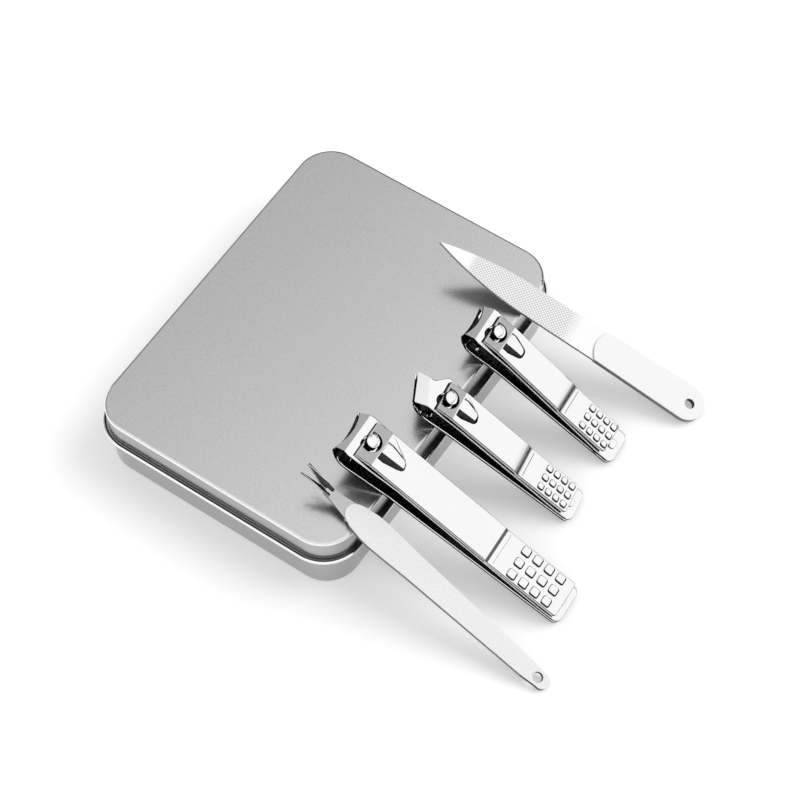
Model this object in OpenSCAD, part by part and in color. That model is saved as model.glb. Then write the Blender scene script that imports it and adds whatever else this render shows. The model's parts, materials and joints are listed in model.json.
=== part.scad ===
// Manicure set case: a slip-lid tin with its inner tray, and the five tools that lean on it.
// Millimetres, +Z up. The origin is the centre of the tin's bottom face.
// X runs across the tin's short side and Y along its long side.

/* [Tin case] */
// Width of the lid, its short side
case_w = 85; // [70:1:110]
// Length of the lid, its long side
case_len = 115; // [105:1:150]
// Height of the closed case
case_h = 23.65; // [22:0.05:32]
// Corner radius of the lid, seen from above
corner_r = 10.9; // [6:0.1:18]
// Height of the lid's skirt
skirt_h = 8; // [6:0.5:10]
// Thickness of the tin plate
sheet = 0.35; // [0.25:0.05:0.6]
// Outside radius of the folds at the lid's top and the base's bottom
fold_r = 0.8; // [0.7:0.1:1.5]
// Gap between the lid's skirt and the neck inside it
lid_gap = 0.15; // [0.1:0.05:0.4]
// Gap between the lid's top plate and the neck's curled rim
lid_seat_gap = 0.1; // [0.05:0.05:0.4]
// Outside radius of the curl round the neck's rim
curl_r = 0.55; // [0.45:0.05:0.8]
// Outside radius of the round bead under the skirt
bead_r = 0.6; // [0.5:0.05:0.9]
// How far the bead's centre stands outside the lid
bead_reach = 0.95; // [0.7:0.05:1.5]
// Drop from the skirt's lower edge to the bead's top
bead_gap = 0.3; // [0.2:0.05:0.8]

/* [Inner tray] */
// Height of the foam tray
tray_h = 15; // [14:0.5:17]
// Foam left under the deepest pocket
tray_floor = 1.8; // [1:0.1:3]
// Gap between the tray and the tin's walls
tray_gap = 0.6; // [0.5:0.1:2]
// Room round each tool in its pocket
pocket_gap = 1.2; // [0.8:0.1:1.5]
// Radius of the finger groove across the pockets
finger_r = 12; // [8:1:15]
// Depth of the finger groove
finger_depth = 7; // [4:0.5:9]

/* [How the tools lie] */
// Gap between a tool and the lid's folded edge
rest_gap = 0.3; // [0.2:0.05:0.6]
// Height of a tool's tail edge over the surface
heel_lift = 0.05; // [0:0.05:0.3]

/* [Large clipper] */
// Length of the jaws
large_len = 80.2; // [76:0.1:86]
// Width of the jaws at the tail
large_tail_w = 12; // [11:0.1:13]
// Width of the jaws at the blades
large_head_w = 13.9; // [13:0.1:15]
// Width of the lever
large_lever_w = 11.8; // [11:0.1:12.5]
// Length of the lever's dimpled pad
large_pad_len = 25; // [22:0.5:28]
// Height of the upper jaw at its front edge
large_head_h = 9.9; // [9:0.1:11]
// Drop of the cutting edge to the middle of its hollow
large_hollow = 1.4; // [0.5:0.1:2]
// Width of a dimple
large_dimple = 2.7; // [2:0.1:3]
// Distance between the rows of dimples
large_row_pitch = 4.13; // [3.8:0.01:4.6]
// Distance between the dimples of a row
large_side_pitch = 4.05; // [3.6:0.05:4.4]
// Distance from the lever's tail to the first row of dimples
large_first_row = 4.5; // [3.5:0.1:5]
// Distance from the jaws' tail to the lever's tail
large_lever_back = 2.6; // [1.5:0.1:3.5]
// Length of the head, from the blades back to where the jaws start to widen
large_head_len = 21; // [18:0.5:24]
// Distance from the blades back to the post
large_post_back = 7.3; // [6.8:0.1:8]
// Length of the lever's window behind the post
large_window = 7.5; // [6.5:0.1:8.5]

/* [Slanted clipper] */
// Length of the jaws to the tip of the slanted blade
slant_len = 62; // [60:0.1:66]
// Width of the jaws at the tail
slant_tail_w = 10.2; // [9.8:0.1:11]
// Width of the lever
slant_lever_w = 9.6; // [9:0.1:10]
// Length of the lever's dimpled pad
slant_pad_len = 19; // [17:0.5:21]
// Height of the upper jaw at its front edge
slant_head_h = 9.2; // [8.8:0.1:10]
// Angle of the blades across the jaws
slant_skew = 22.5; // [15:0.5:30]
// How far the jaw bulges on its bevelled side
slant_bulge = 5.9; // [5.6:0.1:6.6]
// Width of a dimple
slant_dimple = 2; // [1.6:0.1:2.3]
// Distance between the rows of dimples
slant_row_pitch = 2.85; // [2.6:0.05:3.1]
// Distance between the dimples of a row
slant_side_pitch = 3.1; // [2.8:0.05:3.4]
// Distance from the lever's tail to the first row of dimples
slant_first_row = 2; // [1.8:0.1:3]
// Distance from the jaws' tail to the lever's tail
slant_lever_back = 3.65; // [2.5:0.05:4.5]
// Length of the head, from the blades back to where the jaws start to widen
slant_head_len = 18; // [15:0.5:20]
// Distance from the blade's tip back to the post
slant_post_back = 10.7; // [10:0.1:11.5]
// Length of the lever's window behind the post
slant_window = 6.2; // [5.5:0.1:7]

/* [Small clipper] */
// Length of the jaws
small_len = 58.8; // [56:0.1:62]
// Width of the jaws at the tail
small_tail_w = 10.4; // [10:0.1:11]
// Width of the jaws at the blades
small_head_w = 12; // [11:0.1:13]
// Width of the lever
small_lever_w = 9.8; // [9:0.1:10]
// Length of the lever's dimpled pad
small_pad_len = 18.6; // [17:0.2:21]
// Height of the upper jaw at its front edge
small_head_h = 9.2; // [8.8:0.1:10]
// Drop of the cutting edge to the middle of its hollow
small_hollow = 1.2; // [0.5:0.1:1.6]
// Width of a dimple
small_dimple = 2; // [1.6:0.1:2.3]
// Distance between the rows of dimples
small_row_pitch = 2.88; // [2.6:0.01:3.1]
// Distance between the dimples of a row
small_side_pitch = 3.15; // [2.8:0.05:3.4]
// Distance from the lever's tail to the first row of dimples
small_first_row = 1.5; // [1.3:0.1:2.5]
// Distance from the jaws' tail to the lever's tail
small_lever_back = 4.7; // [3.5:0.1:5.5]
// Length of the head, from the blades back to where the jaws start to widen
small_head_len = 16; // [14:0.5:19]
// Distance from the blades back to the post
small_post_back = 6.9; // [6.6:0.1:7.6]
// Length of the lever's window behind the post
small_window = 6; // [5.2:0.1:7]

/* [All clippers] */
// Thickness of the jaw plates
jaw_t = 1.25; // [1.1:0.05:1.3]
// Thickness of the lever
lever_t = 1.2; // [1:0.05:1.3]
// Gap between the lever's underside and the upper jaw
lever_gap = 0.7; // [0.65:0.05:0.9]
// Depth of the step down to the lever's pad
pad_step = 0.55; // [0.3:0.05:0.55]
// Angle at which the pad lifts from the jaw
pad_lift = 2.9; // [2.5:0.1:4]
// Length of the two jaws' flat joint at the tail
tail_joint = 6; // [5:0.5:8]
// How far the cutting edges stand apart at rest
bite = 1.6; // [1.2:0.1:2.2]
// Height of the slope from the upper jaw's front edge to its cutting edge
bevel_drop = 3; // [2.5:0.1:3.5]
// Length of that slope
bevel_run = 2.7; // [2.2:0.1:3.2]
// Outside radius of the lower jaw's upturned blade
blade_r = 7.5; // [6.5:0.1:9]
// Radius of the post's stem
post_r = 1.7; // [1.5:0.05:1.8]
// Radius of the post's head
post_head_r = 2; // [1.85:0.05:2.1]
// Height of the post's head over the upper jaw
post_rise = 3.2; // [3:0.1:3.4]
// Radius of the foot under the lower jaw
foot_r = 2.4; // [2.2:0.1:3]
// Radius of the bar that hooks the lever to the post
bar_r = 0.45; // [0.4:0.05:0.5]
// Distance from the post's axis forward to the bar
bar_reach = 1.4; // [1.3:0.1:1.5]
// Radius of the rivet through the two tails
rivet_r = 1; // [0.8:0.1:1.3]
// Height of the raised dimples
dimple_h = 0.35; // [0.2:0.05:0.5]

/* [Nail file] */
// Length of the file over all
file_len = 92.1; // [86:0.1:96]
// Length of its handle along the sides
file_handle_len = 35.8; // [32:0.1:40]
// Width of its handle at the tail
file_tail_w = 11.4; // [10.5:0.1:12]
// Width of its blade by the handle
file_blade_w = 10; // [9:0.1:10.4]
// Thickness of its handle
file_handle_t = 1.9; // [1.7:0.1:2.4]
// Length of the blade's pointed part
file_point_len = 29; // [26:0.5:34]
// Distance from the handle's tail to its hanging hole
file_hole_back = 4.6; // [4:0.1:6]

/* [Cuticle fork] */
// Length of the fork over all
fork_len = 90.2; // [86:0.1:94]
// Length of its handle along the sides
fork_handle_len = 72; // [68:0.5:75]
// Widest place of its handle
fork_handle_w = 9; // [8:0.1:9.4]
// Distance between the fork's two tips
fork_tips = 3; // [2.4:0.1:3.4]
// Thickness of its handle
fork_handle_t = 1.6; // [1.6:0.1:2]
// Distance from the handle's tail to its hanging hole
fork_hole_back = 3.9; // [3.6:0.1:5]

/* [Both blades with handles] */
// Thickness of a blade
blade_t = 1; // [0.8:0.05:1]
// Radius of the hanging hole in a handle
hang_r = 1.55; // [1:0.05:1.8]

/* [Hidden] */

$fn = 96;
over = 1;
hair = 0.02;
chrome = [0.86, 0.87, 0.89];
tin = [0.74, 0.75, 0.76];

// Levels and insets of the tin, from the lid's outline
skirt_z = case_h - skirt_h;
bead_z = skirt_z - bead_gap - bead_r;
wall_in = sheet + lid_gap;
rim_z = case_h - sheet - lid_seat_gap;

// Across the table, a tool's tail stands where the lid's edge meets the tool at a given length
function heel_x(reach, heading) =
    let (rise = case_h - fold_r - heel_lift)
    case_w / 2 - fold_r + sqrt(reach * reach - rise * rise) * abs(cos(heading));

// How far past the lid's edge a clipper's post foot starts, or another tool's tip lies
large_foot_past = 9.42;
slant_foot_past = 1.1;
small_foot_past = 1.96;
file_tip_past = 31.56;
fork_tip_past = 21.18;

// Where a tool's tail touches the surface, and which way its head points
large_heading = -177.3;
large_heel = [heel_x(large_len - large_post_back - foot_r - large_foot_past, large_heading), -25];
slant_heading = -172;
slant_heel = [heel_x(slant_len - slant_post_back - foot_r - slant_foot_past, slant_heading), 3];
small_heading = -175.7;
small_heel = [heel_x(small_len - small_post_back - foot_r - small_foot_past, small_heading), 25.8];
file_heading = -171.7;
file_heel = [heel_x(file_len - file_tip_past, file_heading), case_len / 2 - 7.2];
fork_heading = 176.2;
fork_heel = [heel_x(fork_len - fork_tip_past, fork_heading), 9.25 - case_len / 2];

// Play between pieces that move on each other
stem_play = 0.35;
notch_play = 0.1;
rivet_play = 0.15;
plate_gap = 0.05;
foot_gap = 0.05;
foot_t = 0.7;
nose_gap = 0.1;
nose_r = bar_r;
rivet_head_r = 1.6;
rivet_head_h = 0.5;
sink_depth = 0.6;
// How far a slanted blade's tip lies beside the centre line, and a straight one's corners come in
tip_side = 2.6;
tip_in = 0.6;

// Names for the places in a clipper's list of sizes
LEN = 0;
TAIL_W = 1;
HEAD_W = 2;
NECK = 3;
HEAD_H = 4;
SKEW = 5;
HOLLOW = 6;
LEVER_W = 7;
LEVER_X = 8;
PAD_LEN = 9;
POST_X = 10;
WINDOW = 11;
DIMPLE = 12;
PITCH_X = 13;
PITCH_Y = 14;
FIRST_ROW = 15;
BULGE = 16;

// A bulge of 0 means a straight head
large = [large_len, large_tail_w, large_head_w, large_len - large_head_len, large_head_h, 0, large_hollow,
    large_lever_w, large_lever_back, large_pad_len, large_len - large_post_back, large_window,
    large_dimple, large_row_pitch, large_side_pitch, large_first_row, 0];
slant = [slant_len, slant_tail_w, slant_tail_w, slant_len - slant_head_len, slant_head_h, slant_skew, 0,
    slant_lever_w, slant_lever_back, slant_pad_len, slant_len - slant_post_back, slant_window,
    slant_dimple, slant_row_pitch, slant_side_pitch, slant_first_row, slant_bulge];
small = [small_len, small_tail_w, small_head_w, small_len - small_head_len, small_head_h, 0, small_hollow,
    small_lever_w, small_lever_back, small_pad_len, small_len - small_post_back, small_window,
    small_dimple, small_row_pitch, small_side_pitch, small_first_row, 0];

// The tin's walls: one outline that a profile follows

// Sweeps a profile round a rounded rectangle, x = r on its outline
module round_sweep(w, l, r) {
    for (k = [0:3])
        let (sx = (k == 0 || k == 3) ? 1 : -1, sy = (k < 2) ? 1 : -1)
        translate([sx * (w / 2 - r), sy * (l / 2 - r), 0])
            rotate([0, 0, 90 * k])
                rotate_extrude(angle = 90)
                    children();
    for (k = [0, 1]) {
        rotate([0, 0, 180 * k])
            translate([w / 2 - r, 0, 0])
                rotate([90, 0, 0])
                    linear_extrude(height = l - 2 * r, center = true)
                        children();
        rotate([0, 0, 180 * k])
            translate([0, l / 2 - r, 0])
                rotate([90, 0, 90])
                    linear_extrude(height = w - 2 * r, center = true)
                        children();
    }
}

module rounded_rect(w, l, r) {
    square([w - 2 * r, l], center = true);
    square([w, l - 2 * r], center = true);
    for (sx = [-1, 1], sy = [-1, 1])
        translate([sx * (w / 2 - r), sy * (l / 2 - r)])
            circle(r);
}

// Folded corner of the sheet: a quarter ring in the +x +y quadrant
module sheet_fold() {
    intersection() {
        difference() {
            circle(fold_r);
            circle(fold_r - sheet);
        }
        square(fold_r);
    }
}

// Lid profile, with the lid's outline at x = corner_r
module lid_profile() {
    translate([corner_r - sheet, skirt_z])
        square([sheet, skirt_h - fold_r]);
    translate([corner_r - fold_r, case_h - fold_r])
        sheet_fold();
    translate([0, case_h - sheet])
        square([corner_r - fold_r, sheet]);
}

// Base profile: bottom, wall, rolled bead, neck and curled rim
module base_profile(r) {
    square([r - fold_r, sheet]);
    translate([r - fold_r, fold_r])
        mirror([0, 1])
            sheet_fold();
    translate([r - sheet, fold_r])
        square([sheet, rim_z - curl_r - fold_r]);
    difference() {
        union() {
            translate([r - sheet, bead_z - sheet])
                square([wall_in + bead_reach, 2 * sheet]);
            translate([r + wall_in + bead_reach, bead_z])
                circle(bead_r);
        }
        translate([r + wall_in + bead_reach, bead_z])
            circle(bead_r - sheet);
    }
    translate([r - curl_r, rim_z - curl_r])
        difference() {
            circle(curl_r);
            circle(curl_r - sheet);
        }
}

module case_lid() {
    color(tin) {
        round_sweep(case_w, case_len, corner_r)
            lid_profile();
        translate([0, 0, case_h - sheet])
            linear_extrude(height = sheet)
                square([case_w - 2 * corner_r, case_len - 2 * corner_r], center = true);
    }
}

module case_base() {
    base_r = corner_r - wall_in;
    color(tin) {
        round_sweep(case_w - 2 * wall_in, case_len - 2 * wall_in, base_r)
            base_profile(base_r);
        linear_extrude(height = sheet)
            square([case_w - 2 * corner_r, case_len - 2 * corner_r], center = true);
    }
}

// Pockets in the tray: width, length and depth for each tool, from left to right
POCKETS = [
    [fork_handle_w, fork_len, fork_handle_t],
    [large_head_w, large_len, large_head_h],
    [2 * slant_bulge, slant_len, slant_head_h],
    [small_head_w, small_len, small_head_h],
    [file_tail_w, file_len, file_handle_t]
];

function widths_before(i) = i == 0 ? 0 : widths_before(i - 1) + POCKETS[i - 1][0] + pocket_gap;

tray_in = wall_in + sheet + tray_gap;
tray_w = case_w - 2 * tray_in;
tray_len = case_len - 2 * tray_in;
rib = (tray_w - widths_before(len(POCKETS))) / (len(POCKETS) + 1);
tray_top = sheet + tray_h;
pocket_depth = tray_h - tray_floor;

module pocket(i) {
    w = POCKETS[i][0] + pocket_gap;
    translate([-tray_w / 2 + rib * (i + 1) + widths_before(i) + w / 2, 0, tray_top - pocket_depth])
        linear_extrude(height = pocket_depth + over)
            rounded_rect(w, POCKETS[i][1] + pocket_gap, w / 4);
}

module tool_tray() {
    color([0.22, 0.22, 0.24])
        difference() {
            translate([0, 0, sheet])
                linear_extrude(height = tray_h)
                    rounded_rect(tray_w, tray_len, corner_r - tray_in);
            for (i = [0:len(POCKETS) - 1])
                pocket(i);
            translate([0, 0, tray_top + finger_r - finger_depth])
                rotate([0, 90, 0])
                    cylinder(h = tray_w - 2 * rib, r = finger_r, center = true);
        }
}

// Angle at which a tool leans so that it clears the lid's fold by the named gap
// under is how far the side that meets the lid stands above the tail's edge
function lean(heel, heading, w, under) =
    let (run = (heel[0] - case_w / 2 + fold_r) / abs(cos(heading)))
    let (rise = case_h - fold_r - heel_lift)
    let (slope = atan2(rise, run))
    let (clear = fold_r + rest_gap - under + w / 2 * abs(sin(heading)) * sin(slope))
    slope + asin(clear / norm([run, rise]));

// Puts a tool's own frame, tail at the origin and head along +X, where the tool lies
module lay(heel, heading, w, under = 0) {
    translate([heel[0], heel[1], heel_lift])
        rotate([0, -lean(heel, heading, w, under), heading])
            children();
}

module lay_large() {
    lay(large_heel, large_heading, large_head_w)
        children();
}

module lay_slant() {
    lay(slant_heel, slant_heading, slant_tail_w)
        children();
}

module lay_small() {
    lay(small_heel, small_heading, small_head_w)
        children();
}

// Clippers: the lower jaw lies on z = 0, and the upper jaw rises from the joint at the tail
joint_z = jaw_t + plate_gap;

function jaw_slope(c) = atan2(c[HEAD_H] - joint_z - jaw_t, c[LEN] - bevel_run - tail_joint);

// Moves to the upper jaw's own plane: origin over the joint's front, z = 0 on the jaw's top
module on_jaw(c) {
    translate([tail_joint, 0, joint_z + jaw_t])
        rotate([0, -jaw_slope(c), 0])
            translate([-tail_joint, 0, 0])
                children();
}

// Distance along the sloping jaw of the place that lies x from the tail, drop under the jaw's top
function along(c, x, drop = 0) =
    tail_joint + (x - tail_joint - drop * sin(jaw_slope(c))) / cos(jaw_slope(c));

// Turns a shape about the middle of the blades, and draws a side profile across the jaws
module across(c, x) {
    translate([x, 0, 0])
        rotate([0, 0, c[SKEW]])
            rotate([90, 0, 0])
                linear_extrude(height = 2 * c[LEN], center = true)
                    children();
}

// Outline of both jaws, seen from above
module jaw_outline(c, length, neck) {
    w = c[TAIL_W] / 2;
    h = c[HEAD_W] / 2;
    b = c[BULGE];
    tail_r = 2;
    far = length + 2;
    difference() {
        union() {
            translate([tail_r, -w])
                square([neck - tail_r, 2 * w]);
            translate([0, tail_r - w])
                square([2 * tail_r, 2 * (w - tail_r)]);
            for (s = [-1, 1])
                translate([tail_r, s * (w - tail_r)])
                    circle(tail_r);
            if (b == 0)
                polygon([[neck, -w], [length - 4, -h], [length - 0.9, tip_in - h], [far, tip_in - h],
                    [far, h - tip_in], [length - 0.9, h - tip_in], [length - 4, h], [neck, w]]);
            else
                polygon([[neck, -w], [length - 11, -b], [length - 8, -b], [length - 4.8, -1.2 - tip_side / 2],
                    [length - 3.2, 0.6 - tip_side], [length, -tip_side], [far, b], [neck, w]]);
        }
        if (c[HOLLOW] > 0)
            let (r = (h * h + c[HOLLOW] * c[HOLLOW]) / (2 * c[HOLLOW]))
            translate([length + r - c[HOLLOW], 0])
                circle(r, $fn = 180);
    }
}

// Where the line of the blades crosses the centre line: a slanted blade's tip lies beside it
function blade_x(c, length) = length - tip_side * tan(c[SKEW]);

// Side view of the room over a flat floor that turns up into an arc, inset by the plate's thickness
module bend_region(c, arc_x, inset) {
    back = 2 * c[LEN] + inset;
    translate([-back, inset])
        square([back + arc_x, 2 * (blade_r - inset)]);
    translate([arc_x, blade_r])
        circle(blade_r - inset, $fn = 180);
}

module lower_jaw(c) {
    x = blade_x(c, c[LEN]);
    z = c[HEAD_H] - bevel_drop - bite;
    arc_x = -sqrt(blade_r * blade_r - (blade_r - z) * (blade_r - z));
    grind = 1.1;
    color(chrome)
        difference() {
            intersection() {
                linear_extrude(height = c[HEAD_H])
                    jaw_outline(c, c[LEN], c[NECK]);
                across(c, x)
                    difference() {
                        bend_region(c, arc_x, 0);
                        bend_region(c, arc_x, jaw_t);
                        translate([-3 * c[LEN], z])
                            square([4 * c[LEN], 2 * blade_r]);
                        polygon([[-0.3, z + over], [-0.3, z], [-0.3 - grind, z - grind], [arc_x, z - grind],
                            [arc_x, z + over]]);
                    }
            }
            on_jaw(c)
                translate([along(c, c[POST_X]), 0, 0])
                    cylinder(h = 3 * c[HEAD_H], r = post_r + stem_play, center = true);
            rivet_hole(0);
        }
}

// Room for the rivet: its shank and the sunk head under the lower jaw
module rivet_hole(play) {
    translate([tail_joint / 2, 0, -over])
        cylinder(h = 4 * jaw_t, r = rivet_r + hair + play);
    if (play == 0)
        translate([tail_joint / 2, 0, -hair])
            cylinder(h = sink_depth + hair, r1 = rivet_r + sink_depth + 2 * hair, r2 = rivet_r + hair);
}

module tail_rivet(c) {
    color("gainsboro")
        translate([tail_joint / 2, 0, 0]) {
            cylinder(h = joint_z + jaw_t + rivet_play + rivet_head_h, r = rivet_r);
            cylinder(h = sink_depth, r1 = rivet_r + sink_depth, r2 = rivet_r);
            translate([0, 0, joint_z + jaw_t + rivet_play])
                cylinder(h = rivet_head_h, r1 = rivet_head_r, r2 = rivet_head_r - rivet_head_h / 2);
        }
}

module upper_jaw(c) {
    x = blade_x(c, along(c, c[LEN], bevel_drop));
    land = 0.3;
    color(chrome)
        difference() {
            union() {
                translate([0, 0, joint_z])
                    linear_extrude(height = jaw_t)
                        intersection() {
                            jaw_outline(c, c[LEN], c[NECK]);
                            translate([0, -c[TAIL_W]])
                                square([tail_joint, 2 * c[TAIL_W]]);
                        }
                on_jaw(c)
                    intersection() {
                        translate([0, 0, -c[HEAD_H]])
                            linear_extrude(height = c[HEAD_H])
                                jaw_outline(c, along(c, c[LEN], bevel_drop), c[NECK]);
                        across(c, x)
                            polygon([[-2 * c[LEN], 0], [-bevel_run, 0], [0, -bevel_drop], [-land, -bevel_drop],
                                [-bevel_run - jaw_t / 2, -jaw_t], [-2 * c[LEN], -jaw_t]]);
                        translate([tail_joint - jaw_t * tan(jaw_slope(c) / 2), -c[LEN] / 2, -c[HEAD_H]])
                            cube([c[LEN], c[LEN], c[HEAD_H]]);
                    }
            }
            on_jaw(c)
                translate([along(c, c[POST_X]), 0, 0])
                    cylinder(h = 4 * jaw_t, r = post_r + stem_play, center = true);
            rivet_hole(rivet_play);
        }
}

// Post: foot, stem, hooked head with a notch for the lever's bar
module post(c) {
    x = along(c, c[POST_X]);
    notch = bar_r + notch_play;
    dome_h = 0.6;
    // The foot stays square to the post, below the lower jaw
    depth = (joint_z + jaw_t + (c[POST_X] - tail_joint) * tan(jaw_slope(c))) / cos(jaw_slope(c));
    foot_drop = foot_gap + foot_r * sin(jaw_slope(c));
    color(chrome)
        on_jaw(c)
            translate([x, 0, 0])
                difference() {
                    union() {
                        translate([0, 0, -depth - foot_drop - foot_t])
                            cylinder(h = depth + foot_drop + foot_t + over, r = post_r);
                        translate([0, 0, -depth - foot_drop - foot_t])
                            cylinder(h = foot_t, r = foot_r);
                        translate([0, 0, notch_play])
                            cylinder(h = post_rise - dome_h - notch_play, r = post_head_r);
                        translate([0, 0, post_rise - dome_h])
                            cylinder(h = dome_h, r1 = post_head_r, r2 = post_head_r - 2 * dome_h);
                    }
                    translate([bar_reach, 0, nose_gap + nose_r])
                        rotate([90, 0, 0])
                            cylinder(h = 3 * post_head_r, r = notch, center = true);
                    translate([bar_reach, -2 * post_head_r, nose_gap + nose_r - notch])
                        cube([2 * post_head_r, 4 * post_head_r, 2 * notch]);
                }
}

// Lever: pad with dimples, step, plate with its window, and two prongs that hold the bar
module lever(c) {
    x0 = c[LEVER_X];
    step_x = x0 + c[PAD_LEN];
    bar_x = along(c, c[POST_X]) + bar_reach;
    fold_x = along(c, c[POST_X]) - 3.5;
    gap = lever_gap;
    top = gap + lever_t;
    low = gap - pad_step;
    bar_z = nose_gap + nose_r;
    rise = c[PAD_LEN] * tan(pad_lift);
    hole_r = 2.9;
    w = c[LEVER_W] / 2;
    edge_r = 0.8;
    strip = 1.5;
    ramp = 0.5;
    color(chrome)
        on_jaw(c) {
            difference() {
                union() {
                    intersection() {
                        rotate([90, 0, 0])
                            linear_extrude(height = 2 * w, center = true) {
                                polygon([[x0, low + rise], [step_x - ramp, low], [step_x, low], [step_x + ramp, gap],
                                    [fold_x, gap], [bar_x, nose_gap], [bar_x, bar_z + nose_r], [fold_x, top],
                                    [step_x + ramp, top], [step_x - ramp, low + lever_t], [x0, low + rise + lever_t]]);
                                translate([bar_x, bar_z])
                                    circle(nose_r);
                            }
                        linear_extrude(height = 3 * top) {
                            translate([x0, edge_r - w])
                                square([c[LEN], 2 * (w - edge_r)]);
                            translate([x0 + edge_r, -w])
                                square([c[LEN], 2 * w]);
                            for (s = [-1, 1])
                                translate([x0 + edge_r, s * (w - edge_r)])
                                    circle(edge_r);
                        }
                    }
                    translate([x0, 0, low + rise + lever_t])
                        rotate([0, pad_lift, 0])
                            for (i = [0:3], j = [-1:1])
                                translate([c[FIRST_ROW] + i * c[PITCH_X], j * c[PITCH_Y], -hair])
                                    linear_extrude(height = dimple_h + hair)
                                        square(c[DIMPLE], center = true);
                }
                // Opening for the post, up to the bar
                difference() {
                    union() {
                        translate([along(c, c[POST_X]), 0, -over])
                            cylinder(h = 3 * top, r = hole_r);
                        translate([along(c, c[POST_X]), -hole_r, -over])
                            cube([2 * hole_r, 2 * hole_r, 3 * top]);
                    }
                    translate([bar_x, 0, bar_z])
                        rotate([90, 0, 0])
                            cylinder(h = 2 * w, r = bar_r, center = true);
                }
                // Window behind the strip, narrower towards the tail
                translate([fold_x - c[WINDOW] - strip / 2, 0, -over])
                    linear_extrude(height = 3 * top)
                        polygon([[0, -1.5], [c[WINDOW] - strip, -hole_r], [c[WINDOW] + strip / 4, -hole_r],
                            [c[WINDOW] + strip / 4, hole_r], [c[WINDOW] - strip, hole_r], [0, 1.5]]);
                // Thin groove across the pad beside the step
                translate([step_x - ramp, 0, low + lever_t])
                    rotate([0, pad_lift, 0])
                        translate([-1.3, 0, 0])
                            cube([0.4, 1.7 * w, 0.4], center = true);
            }
        }
}

// Nail file
file_under = 0.3;

module file_handle_outline() {
    w = file_tail_w / 2;
    v = w - 0.6;
    bow = 2;
    bow_r = (v * v + bow * bow) / (2 * bow);
    translate([w, 0])
        circle(w);
    polygon([[w, -w], [file_handle_len, -v], [file_handle_len, v], [w, w]]);
    intersection() {
        translate([file_handle_len + bow - bow_r, 0])
            circle(bow_r);
        translate([file_handle_len - over, -v])
            square([2 * bow + over, 2 * v]);
    }
}

// Straight sides, and two arcs that cross them at a small angle and meet at the tip
module file_outline(start) {
    w = file_blade_w / 2;
    body = file_len - file_point_len;
    lead = 3;
    apex = body - lead;
    reach = file_len - apex;
    drop = (reach * reach - lead * lead - w * w) / (2 * w);
    arc_r = norm([reach, drop]);
    translate([start, -w])
        square([apex - start, 2 * w]);
    intersection() {
        translate([apex, -drop])
            circle(arc_r, $fn = 240);
        translate([apex, drop])
            circle(arc_r, $fn = 240);
        translate([apex - hair, -w])
            square([reach + over, 2 * w]);
    }
}

tang_w = 6;
tang_len = 22;

module tang(x, w, t, play) {
    translate([x - tang_len, -w / 2 - play, -play])
        cube([tang_len + over, w + 2 * play, t + 2 * play]);
}

module file_handle() {
    color("whitesmoke")
        lay(file_heel, file_heading, file_blade_w, file_under)
            difference() {
                linear_extrude(height = file_handle_t)
                    file_handle_outline();
                translate([0, 0, file_under])
                    tang(file_handle_len, tang_w, blade_t, hair);
                translate([0, 0, file_under - hair])
                    linear_extrude(height = blade_t + 2 * hair)
                        translate([file_handle_len - 1, -file_blade_w / 2 - hair])
                            square([over + 8, file_blade_w + 2 * hair]);
                translate([file_hole_back, 0, -over])
                    cylinder(h = file_handle_t + 2 * over, r = hang_r);
            }
}

module file_blade() {
    color("white")
        lay(file_heel, file_heading, file_blade_w, file_under)
            translate([0, 0, file_under]) {
                linear_extrude(height = blade_t)
                    file_outline(file_handle_len - 1 + hair);
                tang(file_handle_len, tang_w, blade_t, 0);
            }
}

// Cuticle fork
fork_under = 0;
fork_lift = 0.3;
fork_neck_w = 2.6;

// The handle is wide where it holds the blade, and its front corners come in by these lengths
module fork_handle_outline() {
    w = fork_handle_w / 2;
    tail = 2.3;
    front = fork_handle_len;
    polygon([[tail, 0.05 - tail], [8, -2.8], [20, -3.1], [35, -3.5], [front - 22, 0.6 - w],
        [front - 15, 0.2 - w], [front - 9, -w], [front - 6, 0.15 - w], [front - 2, 0.8 - w],
        [front, 1.4 - w], [front, w - 1.4], [front - 2, w - 0.8], [front - 6, w - 0.15],
        [front - 9, w], [front - 15, w - 0.2], [front - 22, w - 0.6], [35, 3.5], [20, 3.1],
        [8, 2.8], [tail, tail - 0.05]]);
    translate([tail, 0])
        circle(tail);
    let (v = w - 1.5, bow = 2.2, r = (v * v + bow * bow) / (2 * bow))
    intersection() {
        translate([front + bow - r, 0])
            circle(r);
        translate([front - over, -v])
            square([2 * bow + over, 2 * v]);
    }
}

module fork_handle() {
    color("silver")
        lay(fork_heel, fork_heading, fork_handle_w, fork_under)
            difference() {
                linear_extrude(height = fork_handle_t)
                    fork_handle_outline();
                translate([0, 0, fork_lift])
                    tang(fork_handle_len, fork_neck_w + 1, blade_t, hair);
                translate([fork_handle_len - 1, -fork_handle_w, fork_lift - hair])
                    cube([8, 2 * fork_handle_w, blade_t + 2 * hair]);
                translate([fork_hole_back, 0, -over])
                    cylinder(h = fork_handle_t + 2 * over, r = hang_r);
            }
}

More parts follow.
